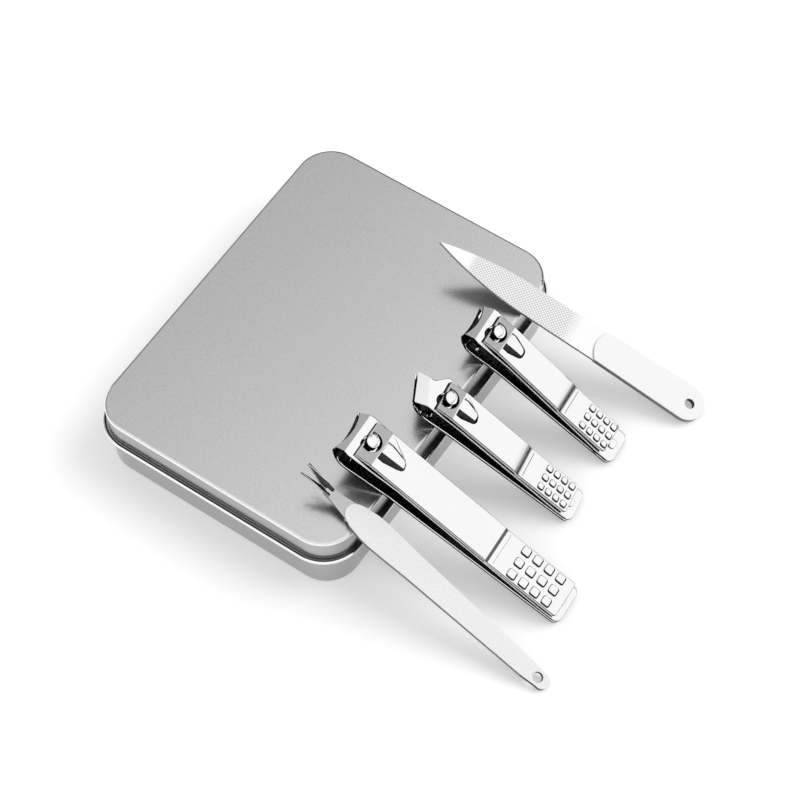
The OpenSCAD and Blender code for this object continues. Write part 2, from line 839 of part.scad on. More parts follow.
// The fork's trough: two thin walls that meet in a V, cut apart at the front
// Its parts share the length between the handle and the tips
module fork_blade() {
    free = fork_len - fork_handle_len;
    shoulder_x = fork_handle_len + 0.375 * free;
    trough_x = fork_handle_len + 0.43 * free;
    neck_x = fork_handle_len + 0.54 * free;
    notch_x = fork_handle_len + 0.626 * free;
    w = fork_neck_w / 2;
    t = 0.6;
    v = fork_tips / 2 + t;
    wide = fork_handle_w / 2 - 1.9;
    color("gainsboro")
        lay(fork_heel, fork_heading, fork_handle_w, fork_under)
            translate([0, 0, fork_lift]) {
                tang(fork_handle_len, fork_neck_w + 1, blade_t, 0);
                linear_extrude(height = blade_t)
                    polygon([[fork_handle_len - 1 + hair, -wide], [fork_handle_len + 1, -wide],
                        [shoulder_x, -w - 0.3], [neck_x, -w], [neck_x, w], [shoulder_x, w + 0.3],
                        [fork_handle_len + 1, wide], [fork_handle_len - 1 + hair, wide]]);
                difference() {
                    intersection() {
                        translate([trough_x, 0, 0])
                            rotate([90, 0, 90])
                                linear_extrude(height = fork_len - trough_x + over)
                                    polygon([[0, 0], [v, v], [v - t, v], [0, 1.2 * t], [t - v, v], [-v, v]]);
                        linear_extrude(height = 3 * v)
                            polygon([[trough_x, -w], [fork_len, -v], [fork_len, v], [trough_x, w]]);
                    }
                    translate([notch_x, 0, -over])
                        linear_extrude(height = 4 * v)
                            polygon([[0, 0], [fork_len - notch_x + 1.6, 0.3 - v], [fork_len - notch_x + 1.6, v - 0.3]]);
                }
            }
}

case_base();
case_lid();
tool_tray();
lay_large() lower_jaw(large);  // large_lower_jaw
lay_large() upper_jaw(large);  // large_upper_jaw
lay_large() lever(large);  // large_lever
lay_large() post(large);  // large_post
lay_large() tail_rivet(large);  // large_tail_rivet
lay_slant() lower_jaw(slant);  // slant_lower_jaw
lay_slant() upper_jaw(slant);  // slant_upper_jaw
lay_slant() lever(slant);  // slant_lever
lay_slant() post(slant);  // slant_post
lay_slant() tail_rivet(slant);  // slant_tail_rivet
lay_small() lower_jaw(small);  // small_lower_jaw
lay_small() upper_jaw(small);  // small_upper_jaw
lay_small() lever(small);  // small_lever
lay_small() post(small);  // small_post
lay_small() tail_rivet(small);  // small_tail_rivet
file_blade();
file_handle();
fork_blade();
fork_handle();
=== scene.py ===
# %% [markdown]
# A manicure set: a satin tin with a slip lid, and three chrome nail clippers, a nail file
# and a cuticle fork that lean on the lid's long edge.
# The CAD model is loaded first and stays where it is. It gives every piece its place and its
# sizes, so this lesson only adds what CAD leaves out: rounded edges, polish, grain and light.

# %% Load the frame
import json
from math import radians

import bpy
from mathutils import Matrix, Vector


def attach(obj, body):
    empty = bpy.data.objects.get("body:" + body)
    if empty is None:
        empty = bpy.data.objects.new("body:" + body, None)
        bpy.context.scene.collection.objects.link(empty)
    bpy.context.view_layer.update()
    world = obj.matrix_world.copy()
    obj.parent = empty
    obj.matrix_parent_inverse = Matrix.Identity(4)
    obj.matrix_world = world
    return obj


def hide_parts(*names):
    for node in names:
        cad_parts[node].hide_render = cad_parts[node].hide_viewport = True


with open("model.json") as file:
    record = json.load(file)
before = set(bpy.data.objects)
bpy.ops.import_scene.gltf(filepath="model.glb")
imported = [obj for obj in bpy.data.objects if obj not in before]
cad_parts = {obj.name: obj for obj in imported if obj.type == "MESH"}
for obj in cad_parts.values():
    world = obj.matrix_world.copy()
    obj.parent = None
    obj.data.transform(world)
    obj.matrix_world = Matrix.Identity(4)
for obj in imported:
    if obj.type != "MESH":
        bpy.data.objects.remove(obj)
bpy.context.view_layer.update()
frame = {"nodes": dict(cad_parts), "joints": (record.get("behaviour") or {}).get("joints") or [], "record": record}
MM = 0.001

# %% [markdown]
# The camera stands where a photographer would: high up at the near right corner, with a long
# lens that keeps the tin's edges almost parallel. The place and the aim were worked out from
# the tin's edges, so the picture can be laid over the photograph.

# %% Camera
CAMERA_PLACE = Vector((0.2366, -0.2868, 0.6128))
CAMERA_TURN = radians(-36.392)
CAMERA_DOWN = radians(59.335)
CAMERA_ROLL = radians(-2.478)
LENS_MM = 108.41

camera_data = bpy.data.cameras.new("camera")
camera_data.lens = LENS_MM
camera_data.sensor_width = 36
camera = bpy.data.objects.new("camera", camera_data)
bpy.context.scene.collection.objects.link(camera)
aim = (Matrix.Rotation(-CAMERA_TURN, 4, "Z")
       @ Matrix.Rotation(radians(90) - CAMERA_DOWN, 4, "X")
       @ Matrix.Rotation(CAMERA_ROLL, 4, "Z"))
camera.matrix_world = Matrix.Translation(CAMERA_PLACE) @ aim
bpy.context.scene.camera = camera
print("camera looks along", [round(v, 3) for v in aim @ Vector((0, 0, -1))])

# %% [markdown]
# A studio for shiny metal is mostly about what the metal sees. Plain surfaces get an even white
# sky. Polished ones see a grey tent with a white wall on the right, another in front, and a dark
# line along the horizon, and that dark line draws the black accents on chrome.

# %% World
PLAIN_SKY = 0.70
TENT_GREY = 0.42
HORIZON = 0.02
WALL_LEAN = -0.38
RIGHT_WALL_EDGE = (-0.58, -0.36)
FRONT_WALL_EDGE = (-0.42, -0.52)
RIGHT_SKYLINE = (0.16, 0.37)
FRONT_SKYLINE = (0.0, 0.1)

world = bpy.data.worlds.new("studio")
bpy.context.scene.world = world
world.use_nodes = True
wn = world.node_tree.nodes
wl = world.node_tree.links
wn.clear()
where = wn.new("ShaderNodeTexCoord")
way = wn.new("ShaderNodeSeparateXYZ")
wl.new(where.outputs["Generated"], way.inputs[0])


def soft_step(source, edge, to_low):
    """A value that goes smoothly from a level to 1 between the two places of an edge."""
    step = wn.new("ShaderNodeMapRange")
    step.interpolation_type = "SMOOTHSTEP"
    step.inputs["From Min"].default_value = edge[0]
    step.inputs["From Max"].default_value = edge[1]
    step.inputs["To Min"].default_value = to_low
    step.inputs["To Max"].default_value = 1.0
    wl.new(source, step.inputs["Value"])
    return step.outputs["Result"]


def sky_math(kind, a, b):
    node = wn.new("ShaderNodeMath")
    node.operation = kind
    wl.new(a, node.inputs[0])
    wl.new(b, node.inputs[1])
    return node.outputs[0]


lean = wn.new("ShaderNodeMath")
lean.operation = "MULTIPLY_ADD"
lean.inputs[1].default_value = WALL_LEAN
wl.new(way.outputs["Y"], lean.inputs[0])
wl.new(way.outputs["X"], lean.inputs[2])
right_wall = soft_step(lean.outputs[0], RIGHT_WALL_EDGE, TENT_GREY)
front_wall = soft_step(way.outputs["Y"], FRONT_WALL_EDGE, TENT_GREY)
right_above = soft_step(way.outputs["Z"], RIGHT_SKYLINE, HORIZON)
front_above = soft_step(way.outputs["Z"], FRONT_SKYLINE, HORIZON)
tent = sky_math("MAXIMUM",
                sky_math("MULTIPLY", right_wall, right_above),
                sky_math("MULTIPLY", front_wall, front_above))

seen = wn.new("ShaderNodeBackground")
wl.new(tent, seen.inputs["Color"])
soft = wn.new("ShaderNodeBackground")
soft.inputs["Color"].default_value = (1, 1, 1, 1)
soft.inputs["Strength"].default_value = PLAIN_SKY
white = wn.new("ShaderNodeBackground")
white.inputs["Color"].default_value = (1, 1, 1, 1)
path = wn.new("ShaderNodeLightPath")
shiny = sky_math("MAXIMUM", path.outputs["Is Glossy Ray"], path.outputs["Is Transmission Ray"])
mix_shiny = wn.new("ShaderNodeMixShader")
wl.new(shiny, mix_shiny.inputs[0])
wl.new(soft.outputs[0], mix_shiny.inputs[1])
wl.new(seen.outputs[0], mix_shiny.inputs[2])
mix_camera = wn.new("ShaderNodeMixShader")
wl.new(path.outputs["Is Camera Ray"], mix_camera.inputs[0])
wl.new(mix_shiny.outputs[0], mix_camera.inputs[1])
wl.new(white.outputs[0], mix_camera.inputs[2])
sky_out = wn.new("ShaderNodeOutputWorld")
wl.new(mix_camera.outputs[0], sky_out.inputs[0])
print("world nodes:", len(wn))

# %% [markdown]
# One wide soft sun from the far right throws the pale shadows towards the near left. It lights
# plain surfaces only: what polished metal shows is the tent, and a lamp's disc isn't wanted in it.

# %% Lamp
KEY_FROM = Vector((0.5, 0.5, 0.85))
KEY_POWER = 1.3
KEY_WIDTH = radians(38)

key_data = bpy.data.lights.new("key", "SUN")
key_data.energy = KEY_POWER
key_data.angle = KEY_WIDTH
key = bpy.data.objects.new("key", key_data)
bpy.context.scene.collection.objects.link(key)
key.rotation_euler = (-KEY_FROM).to_track_quat("-Z", "Y").to_euler()
key.visible_glossy = False
bpy.context.scene.view_settings.view_transform = "Standard"
print("key light from", [round(v, 2) for v in KEY_FROM.normalized()])

# %% [markdown]
# Every finish below is made of nodes that read Object coordinates, in metres, so the grain keeps
# its real size on every piece. Bright steel is smooth. A clipper's sides get a dark copy of the
# chrome as painted shade, its slopes an even grey copy as painted reflection, and some rounds
# a pale copy as painted highlight.


# %% Finishes
def finish(name, color, metallic, roughness):
    """A plain Principled material; patterns are added to it afterwards."""
    mat = bpy.data.materials.new(name)
    mat.use_nodes = True
    shader = shader_of(mat)
    shader.inputs["Base Color"].default_value = (*color, 1)
    shader.inputs["Metallic"].default_value = metallic
    shader.inputs["Roughness"].default_value = roughness
    return mat


def shader_of(mat):
    return mat.node_tree.nodes["Principled BSDF"]


def add(mat, kind, **values):
    node = mat.node_tree.nodes.new(kind)
    for key, value in values.items():
        node.inputs[key.replace("_", " ")].default_value = value
    return node


def join(mat, a, out_name, b, in_name):
    mat.node_tree.links.new(a.outputs[out_name], b.inputs[in_name])


def colour_mix(mat, factor, factor_name):
    mix = mat.node_tree.nodes.new("ShaderNodeMix")
    mix.data_type = "RGBA"
    join(mat, factor, factor_name, mix, "Factor")
    return mix


def grey_mix(mat, factor, factor_name, dark, light):
    """Mixes two greys by a factor."""
    mix = colour_mix(mat, factor, factor_name)
    mix.inputs["A"].default_value = (dark, dark, dark, 1)
    mix.inputs["B"].default_value = (light, light, light, 1)
    return mix


def two_tone(mat, factor, factor_name, dark, light):
    """Mixes two greys by a factor and gives them to the shader as its colour."""
    mix = grey_mix(mat, factor, factor_name, dark, light)
    join(mat, mix, "Result", shader_of(mat), "Base Color")


NOISE_SPAN = {"From_Min": 0.3, "From_Max": 0.7}


def speckle(mat, scale, dark, light, rough, bump=0.0, height=0.04, stretch=None, turn=(0, 0, 0)):
    """Fine noise that varies colour and roughness, and lifts the surface a little (in mm)."""
    place = add(mat, "ShaderNodeTexCoord")
    noise = add(mat, "ShaderNodeTexNoise", Scale=scale, Detail=5.0, Roughness=0.65)
    if stretch:
        squeeze = add(mat, "ShaderNodeMapping", Scale=stretch, Rotation=turn)
        squeeze.vector_type = "TEXTURE"
        join(mat, place, "Object", squeeze, "Vector")
        join(mat, squeeze, "Vector", noise, "Vector")
    else:
        join(mat, place, "Object", noise, "Vector")
    tone = add(mat, "ShaderNodeMapRange", **NOISE_SPAN)
    join(mat, noise, "Fac", tone, "Value")
    two_tone(mat, tone, "Result", dark, light)
    dull = add(mat, "ShaderNodeMapRange", To_Min=rough[0], To_Max=rough[1], **NOISE_SPAN)
    join(mat, noise, "Fac", dull, "Value")
    join(mat, dull, "Result", shader_of(mat), "Roughness")
    if bump:
        lift = add(mat, "ShaderNodeBump", Strength=bump, Distance=height * MM)
        join(mat, noise, "Fac", lift, "Height")
        join(mat, lift, "Normal", shader_of(mat), "Normal")
    return tone


def plain_metal(name, tone, metallic, rough, scale, spread=0.02, **more):
    mat = finish(name, (tone, tone, tone), metallic, rough[0])
    speckle(mat, scale, tone - spread, tone + spread, rough, **more)
    return mat


# painted shade: the glancing reflection on the clippers' shaded sides is tinted dark too
SIDE_GLANCE = (0.08, 0.08, 0.08)

foam_dark = finish("foam dark", (0.03, 0.03, 0.032), 0.0, 0.95)
speckle(foam_dark, 1800, 0.02, 0.05, (0.9, 1.0), bump=0.8, height=0.4)
chrome_bright = plain_metal("chrome bright", 0.93, 1.0, (0.03, 0.06), 300, 0.01)
# painted shade: a dark copy of the chrome for the sides and shanks of the clippers
chrome_painted_shade = plain_metal("chrome painted shade", 0.035, 1.0, (0.15, 0.35), 900, 0.02)
shader_of(chrome_painted_shade).inputs["Specular Tint"].default_value = (*SIDE_GLANCE, 1)
# partly the duller look of sheared steel, partly a painted highlight: a pale grey for a lever's upright sides
cut_side_highlight = plain_metal("cut side highlight", 0.72, 0.4, (0.25, 0.4), 900, 0.08)
# painted shade: a dark copy of the chrome for the riser of a lever's step
riser_painted_shade = plain_metal("riser painted shade", 0.16, 1.0, (0.2, 0.35), 900, 0.04)
# painted reflection: an even grey copy of the chrome for a lever's slopes and head-facing tops
slope_painted_grey = plain_metal("slope painted grey", 0.46, 1.0, (0.2, 0.3), 700, 0.02)
# painted highlight: a pale, mostly plain white for rounds, dimple sides and fork rims that shine as white lines
edge_highlight = plain_metal("edge highlight", 0.92, 0.2, (0.25, 0.35), 700, 0.03)
# partly real reflection, partly painted highlight: a brighter, smoother copy of the tin's metal for the near folds
# and the bead
rim_highlight = plain_metal("rim highlight", 0.96, 1.0, (0.12, 0.18), 900, 0.02)
# painted shade: near-black for the gap under the lid's skirt and the walls of the handles' holes
hollow_painted_shade = plain_metal("hollow painted shade", 0.03, 0.5, (0.5, 0.7), 900, 0.01)
# painted shade: a dark copy of the metal for the lid's folds on the far sides
fold_shade = plain_metal("fold shade", 0.2, 1.0, (0.25, 0.35), 900, 0.03)
fork_steel = plain_metal("fork steel", 0.55, 1.0, (0.22, 0.34), 2600, 0.04)
print("finishes:", len(bpy.data.materials))

# %% [markdown]
# The tin is plate with a fine satin grain. Its walls get a darker tone than its top, a painted
# shade, and the change lies in the fold, so the walls' share is a ramp on the height in Object
# coordinates.

# %% Satin tin
TIN_TOP_TONES = (0.71, 0.85)
# painted shade: the walls' darker tones
TIN_WALL_SHADE_TONES = (0.44, 0.50)
WALL_TO_TOP = (-0.8 * MM, -0.1 * MM)

tin_satin = finish("tin satin", (0.8, 0.8, 0.8), 1.0, 0.3)
grain = speckle(tin_satin, 3200, 0.0, 1.0, (0.21, 0.28), bump=0.09, height=0.03)
lid_points = [v.co.copy() for v in frame["nodes"]["case_lid"].data.vertices]
lid_top = max(p.z for p in lid_points)
tin_place = add(tin_satin, "ShaderNodeTexCoord")
tin_height = add(tin_satin, "ShaderNodeSeparateXYZ")
join(tin_satin, tin_place, "Object", tin_height, 0)
rise = add(tin_satin, "ShaderNodeMapRange",
           From_Min=lid_top + WALL_TO_TOP[0], From_Max=lid_top + WALL_TO_TOP[1])
join(tin_satin, tin_height, "Z", rise, "Value")
wall_shade_tone = grey_mix(tin_satin, grain, "Result", *TIN_WALL_SHADE_TONES)
top_tone = grey_mix(tin_satin, grain, "Result", *TIN_TOP_TONES)
by_height = colour_mix(tin_satin, rise, "Result")
join(tin_satin, wall_shade_tone, "Result", by_height, "A")
join(tin_satin, top_tone, "Result", by_height, "B")
join(tin_satin, by_height, "Result", shader_of(tin_satin), "Base Color")
print("lid top at", round(lid_top / MM, 2), "mm")

# %% [markdown]
# The floor is one pale sheet. The camera sees a little extra white in it, and so do polished
# pieces, so that the picture's background is white while the shadows stay.

# %% Floor
FLOOR_TONE = 0.80
FLOOR_GLOW = 0.30

floor_white = finish("floor white", (FLOOR_TONE, FLOOR_TONE, FLOOR_TONE), 0.0, 0.9)
shader_of(floor_white).inputs["Specular IOR Level"].default_value = 0.0
floor_path = add(floor_white, "ShaderNodeLightPath")
floor_seen = floor_white.node_tree.nodes.new("ShaderNodeMath")
floor_seen.operation = "MAXIMUM"
join(floor_white, floor_path, "Is Camera Ray", floor_seen, 0)
join(floor_white, floor_path, "Is Glossy Ray", floor_seen, 1)
floor_clear = floor_white.node_tree.nodes.new("ShaderNodeMath")
floor_clear.operation = "MAXIMUM"
join(floor_white, floor_seen, "Value", floor_clear, 0)
join(floor_white, floor_path, "Is Transmission Ray", floor_clear, 1)
floor_glow = add(floor_white, "ShaderNodeMapRange", To_Max=FLOOR_GLOW)
join(floor_white, floor_clear, "Value", floor_glow, "Value")
shader_of(floor_white).inputs["Emission Color"].default_value = (1, 1, 1, 1)
join(floor_white, floor_glow, "Result", shader_of(floor_white), "Emission Strength")
bpy.ops.mesh.primitive_plane_add(size=6, location=(0, 0, 0))
floor = bpy.context.object
floor.name = "floor"
floor.data.materials.append(floor_white)

# %% [markdown]
# Each tool has its own directions. A joint's axis is the tool's way across, and the swivel of a
# clipper's post, or the hole in a handle, points square out of the plate.


# %% Directions of each tool
def joint_named(name):
    return next(j for j in frame["joints"] if j["name"] == name)


def mount_named(name):
    return next(m for m in frame["record"]["mounts"] if m["name"] == name)


def directions(tool):
    """A matrix whose x goes to the tool's head, y across it and z out of its plate."""
    across = -Vector(joint_named(tool + "_tilt")["axis"])
    if tool in ("file", "fork"):
        up = Vector(mount_named(tool + "_hole")["axis"])
        origin = Vector(joint_named(tool + "_tilt")["pos_m"])
    else:
        up = Vector(joint_named(tool + "_swivel")["axis"])
        origin = Vector(joint_named(tool + "_swivel")["pos_m"])
    ahead = across.cross(up).normalized()
    turn = Matrix((ahead, across.normalized(), up.normalized())).transposed()
    return Matrix.Translation(origin) @ turn.to_4x4()


CLIPPERS = ("large", "slant", "small")
WAYS = {tool: directions(tool) for tool in CLIPPERS + ("file", "fork")}
for tool, way_of in WAYS.items():
    print(tool, "head points", [round(v, 3) for v in way_of.col[0][:3]])

# %% [markdown]
# A stamped plate has no sharp edges: each one is rounded by a fraction of a millimetre, and that
# thin round is what shines as a white line. A copy of the CAD solid is merged, its flat faces are
# joined, and a Bevel modifier rounds every edge that turns by more than a set angle.
# A Weighted Normal modifier then keeps the large faces flat in their shading.


# %% Rounded copies of solids
DOUBLES = 0.002 * MM
FLAT_ANGLE = radians(0.6)
SHARP_ANGLE = radians(28)
CORNER_ANGLE = radians(30)
CURVE_ANGLE = radians(40)
FLAT_WEIGHT = 80


def only(obj):
    bpy.ops.object.select_all(action="DESELECT")
    obj.select_set(True)
    bpy.context.view_layer.objects.active = obj


def copy_of(node, name, gap=DOUBLES):
    """A new piece with a solid's shape, its points merged where they lie closer than a gap."""
    obj = bpy.data.objects.new(name, frame["nodes"][node].data.copy())
    bpy.context.scene.collection.objects.link(obj)
    obj.data.materials.clear()
    only(obj)
    bpy.ops.object.mode_set(mode="EDIT")
    bpy.ops.mesh.select_all(action="SELECT")
    bpy.ops.mesh.remove_doubles(threshold=gap)
    bpy.ops.object.mode_set(mode="OBJECT")
    return obj


def join_flats(obj):
    """Makes one face of the triangles that lie flat together, up to any seam."""
    only(obj)
    bpy.ops.object.mode_set(mode="EDIT")
    bpy.ops.mesh.select_all(action="SELECT")
    bpy.ops.mesh.dissolve_limited(angle_limit=FLAT_ANGLE, delimit={"SEAM"})
    bpy.ops.object.mode_set(mode="OBJECT")
    return obj


def apply_all(obj):
    only(obj)
    for mod in list(obj.modifiers):
        bpy.ops.object.modifier_apply(modifier=mod.name)


def round_edges(obj, width, material):
    mod = obj.modifiers.new("round", "BEVEL")
    mod.width = width
    mod.segments = 2
    mod.limit_method = "ANGLE"
    mod.angle_limit = SHARP_ANGLE
    mod.use_clamp_overlap = False
    mod.material = material
    apply_all(obj)
    smooth(obj)


def smooth(obj, angle=SHARP_ANGLE):
    only(obj)
    bpy.ops.object.shade_smooth_by_angle(angle=angle)
    mod = obj.modifiers.new("flat", "WEIGHTED_NORMAL")
    mod.mode = "FACE_AREA"
    mod.weight = FLAT_WEIGHT
    mod.keep_sharp = True
    apply_all(obj)


def wear(obj, *materials):
    """Gives a piece its materials, in the order that its faces number them."""
    obj.data.materials.clear()
    for mat in materials:
        obj.data.materials.append(mat)


BODY_OF = {node: body
           for body, nodes in frame["record"]["behaviour"]["bodies"].items()
           for node in nodes}


def stand_for(piece, node):
    """The piece rides with the solid's body and is shown in its place."""
    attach(piece, BODY_OF[node])
    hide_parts(node)


print("helpers ready")

# %% [markdown]
# The tin's three pieces have the right shape already. The lid and the base are copied so that
# their folds shade smoothly. The near folds and the base's bead get a brighter, smoother copy of
# the metal, a painted highlight on top of their real reflection; the far folds get a painted
# shade, and so does the bead's inner slope, under the skirt. The tray keeps its solid and
# gets the foam.

# %% Tin and tray
SKIRT_LOW = min(v.co.z for v in frame["nodes"]["case_lid"].data.vertices)
FOLD_LOW = lid_top - 1.2 * MM
FOLD_SHINE = (0.15, 0.75)
FOLD_FACING_UP = 0.2
FAR_SIDE = Vector((-0.2, 0.98, 0)).normalized()
FAR_ENOUGH = 0.06
BEAD_SHINE = (0.2, 0.995)
BEAD_TOP = SKIRT_LOW - 0.25 * MM
BEAD_CROWN = SKIRT_LOW - 0.4 * MM
BEAD_LOW = SKIRT_LOW - 1.6 * MM
INWARD = -5 * MM
SKIRT_CUT = SKIRT_LOW + 0.12 * MM
# SHINE is a painted highlight, GAP and SHADE are painted shade
TIN, SHINE, GAP, SHADE = range(4)

lid_middle = Vector([(min(p[k] for p in lid_points) + max(p[k] for p in lid_points)) / 2
                     for k in range(2)])


def tin_finish(face):
    """The finish of one face of the tin, a painted highlight, a painted shade or the plain metal, by its height
    and the way it points.
    """
    height, up = face.center.z, face.normal.z
    outward = (face.center.xy - lid_middle).dot(face.normal.xy)
    # the far folds get the painted shade
    if height > FOLD_LOW and up > FOLD_FACING_UP and face.normal.dot(FAR_SIDE) > FAR_ENOUGH:
        return SHADE
    if height > FOLD_LOW and FOLD_SHINE[0] < up < FOLD_SHINE[1]:
        return SHINE
    if not BEAD_LOW < height < BEAD_TOP:
        return TIN
    if outward > 0 and BEAD_SHINE[0] < up < BEAD_SHINE[1]:
        return SHINE
    if up > BEAD_SHINE[0] and (outward < INWARD or height > BEAD_CROWN):
        return GAP
    return TIN


for node in ("case_lid", "case_base"):
    plate = join_flats(copy_of(node, node + "_satin"))
    bpy.ops.object.mode_set(mode="EDIT")
    bpy.ops.mesh.select_all(action="SELECT")
    bpy.ops.mesh.bisect(plane_co=(0, 0, SKIRT_CUT), plane_no=(0, 0, 1))
    bpy.ops.object.mode_set(mode="OBJECT")
    wear(plate, tin_satin, rim_highlight, hollow_painted_shade, fold_shade)
    for face in plate.data.polygons:
        face.material_index = tin_finish(face)
    smooth(plate, CURVE_ANGLE)
    stand_for(plate, node)
wear(frame["nodes"]["tool_tray"], foam_dark)

# %% [markdown]
# A clipper's faces get their finish by the way they point: tops are polished, sides get a painted
# shade, slopes a painted grey reflection, and the rounds between them painted highlights and
# shades of their own.

# %% Finish by direction
# BRIGHT is the polished chrome; SIDE and RISER are painted shade, SLOPE a painted grey reflection, CUT and EDGE a
# painted highlight
BRIGHT, SIDE, SLOPE, CUT, RISER, EDGE = range(6)
TOP_UP = 0.97


def clipper_plate(node, gap=DOUBLES):
    piece = copy_of(node, node + "_polished", gap)
    wear(piece, chrome_bright, chrome_painted_shade, slope_painted_grey, cut_side_highlight, riser_painted_shade, edge_highlight)
    return piece


def out_of(tool):
    """The turn from the frame's directions to a tool's own."""
    return WAYS[tool].to_3x3().inverted()


def sort_faces(piece, tool, choose):
    """Gives each face the finish that choose picks from its normal in the tool's directions."""
    turn = out_of(tool)
    for face in piece.data.polygons:
        face.material_index = choose(*(turn @ face.normal))


def bevel_edges(piece, width, segments, wanted, material=-1):
    """Rounds the sharp edges for whose two ends wanted says yes."""
    only(piece)
    bpy.ops.object.mode_set(mode="EDIT")
    bpy.ops.mesh.select_mode(type="EDGE")
    bpy.ops.mesh.select_all(action="DESELECT")
    bpy.ops.mesh.edges_select_sharp(sharpness=CORNER_ANGLE)
    bpy.ops.object.mode_set(mode="OBJECT")
    piece.data.vertices.foreach_set("select", [False] * len(piece.data.vertices))
    piece.data.polygons.foreach_set("select", [False] * len(piece.data.polygons))
    points = [v.co.copy() for v in piece.data.vertices]
    picked = 0
    for edge in piece.data.edges:
        edge.select = edge.select and wanted(*(points[i] for i in edge.vertices))
        picked += edge.select
    bpy.ops.object.mode_set(mode="EDIT")
    if picked:
        bpy.ops.mesh.bevel(offset=width, segments=segments, affect="EDGES",
                           clamp_overlap=False, material=material)
    bpy.ops.mesh.select_mode(type="VERT")
    bpy.ops.object.mode_set(mode="OBJECT")
    return picked


def round_plate(piece, tool, node, width, choose, wanted=lambda a, b: True):
    """Rounds a plate's edges, and lets choose pick the finish of the rounds alone."""
    marker = len(piece.data.materials)
    piece.data.materials.append(chrome_bright)
    bevel_edges(piece, width, 2, wanted, material=marker)
    turn = out_of(tool)
    for face in piece.data.polygons:
        if face.material_index == marker:
            turned = turn @ face.normal
            face.material_index = BRIGHT if turned.z > TOP_UP else choose(*turned)
    smooth(piece)
    stand_for(piece, node)


# %% [markdown]
# The jaws are stamped plates: their top rounds are polished chrome, their sides a painted shade,
# and some rounds a painted highlight. Their cutting edges stay sharp, so the rounds stop a little
# behind them. Each post and rivet has a polished head on a shank with a painted shade.
# An upper jaw has a hair crack under its bend, which is closed by merging its nearest points.

# %% Jaws, posts and rivets
JAW_ROUND = 0.26 * MM
PIN_ROUND = 0.25 * MM
CRACK = 0.12 * MM
LOWER_CLEAR = 2.6 * MM
UPPER_CLEAR = 1.2 * MM
PIN_UP = 0.35


# the jaws' sides get the painted shade
def jaw_face(ahead, side, up):
    return BRIGHT if up > 0.9 or (up > 0.4 and ahead > 0.4) else SIDE


def upper_round(ahead, side, up):
    if up < -0.2 or ahead < -0.3 or side < -0.3:
        return SIDE
    return EDGE if side > 0.3 else BRIGHT


def lower_round(ahead, side, up):
    return EDGE if up < -0.1 and side > 0.2 else BRIGHT if up > 0.2 else SIDE


def behind_the_tips(piece, tool, clear):
    """Says yes to edges that stay clear of a jaw's cutting edge."""
    to_tool = WAYS[tool].inverted()
    front = max((to_tool @ v.co).x for v in piece.data.vertices) - clear

    def wanted(a, b):
        return max((to_tool @ a).x, (to_tool @ b).x) < front

    return wanted


# the shank of a post and of a rivet gets the painted shade, the head the polished chrome
def pin_face(ahead, side, up):
    return BRIGHT if up > PIN_UP else SIDE


JAWS = (("lower_jaw", lower_round, DOUBLES, LOWER_CLEAR),
        ("upper_jaw", upper_round, CRACK, UPPER_CLEAR))

for tool in CLIPPERS:
    for part, rounds, gap, clear in JAWS:
        node = tool + "_" + part
        jaw = join_flats(clipper_plate(node, gap))
        sort_faces(jaw, tool, jaw_face)
        round_plate(jaw, tool, node, JAW_ROUND, rounds, behind_the_tips(jaw, tool, clear))
    for part in ("post", "tail_rivet"):
        node = tool + "_" + part
        pin = join_flats(clipper_plate(node))
        sort_faces(pin, tool, pin_face)
        round_plate(pin, tool, node, PIN_ROUND, pin_face)
print("jaws, posts and rivets:", 4 * len(CLIPPERS))

# %% [markdown]
# A lever gets more work. Its plate bends down a little before the step, which is why chrome goes
# grey there. The corners of its dimples and of its window are round, as a punch leaves them.

# %% Levers
BEND_LENGTH = 4 * MM
BEND_DROP = 0.16 * MM
BEND_CUTS = 6
PAD_SLOPE = radians(2.9)
PAD_UP = Vector((PAD_SLOPE, 0, 1)).normalized()
PAD_CLEAR = 3.1 * MM
PAD_START = 2 * MM
DIMPLE_HIGH = 0.25 * MM
DIMPLE_CORNER = 0.55 * MM
DIMPLE_ROUND = 0.32 * MM
DIMPLE_UP = 0.985
DIMPLE_TURN = 0.1
WINDOW_CORNER = 1.1 * MM
GROOVE_BACK = 2.3 * MM
GROOVE_CLEAR = 0.3 * MM
LEVER_ROUND = 0.14 * MM


def riser_of(lever, tool):
    """The largest face that slopes down towards the tail: the step."""
    turn = out_of(tool)
    slopes = [face for face in lever.data.polygons
              if (turn @ face.normal).x < -0.3 and (turn @ face.normal).z > 0.5]
    return max(slopes, key=lambda face: face.area)


def bend_before_step(lever, tool, step_x, plate_z):
    """Lowers the plate's top along a curve over the last stretch before the step."""
    only(lever)
    for k in range(1, BEND_CUTS + 1):
        cut = WAYS[tool] @ Vector((step_x + BEND_LENGTH * k / BEND_CUTS, 0, 0))
        bpy.ops.object.mode_set(mode="EDIT")
        bpy.ops.mesh.select_all(action="SELECT")
        bpy.ops.mesh.bisect(plane_co=cut, plane_no=WAYS[tool].col[0].to_3d())
        bpy.ops.object.mode_set(mode="OBJECT")
    to_tool = WAYS[tool].inverted()
    lowered = 0
    for v in lever.data.vertices:
        p = to_tool @ v.co
        past = (p.x - step_x) / BEND_LENGTH
        if p.z > plate_z - 0.02 * MM and -0.01 < past < 1:
            p.z -= BEND_DROP * (1 - past) ** 2
            v.co = WAYS[tool] @ p
            lowered += 1
    return lowered


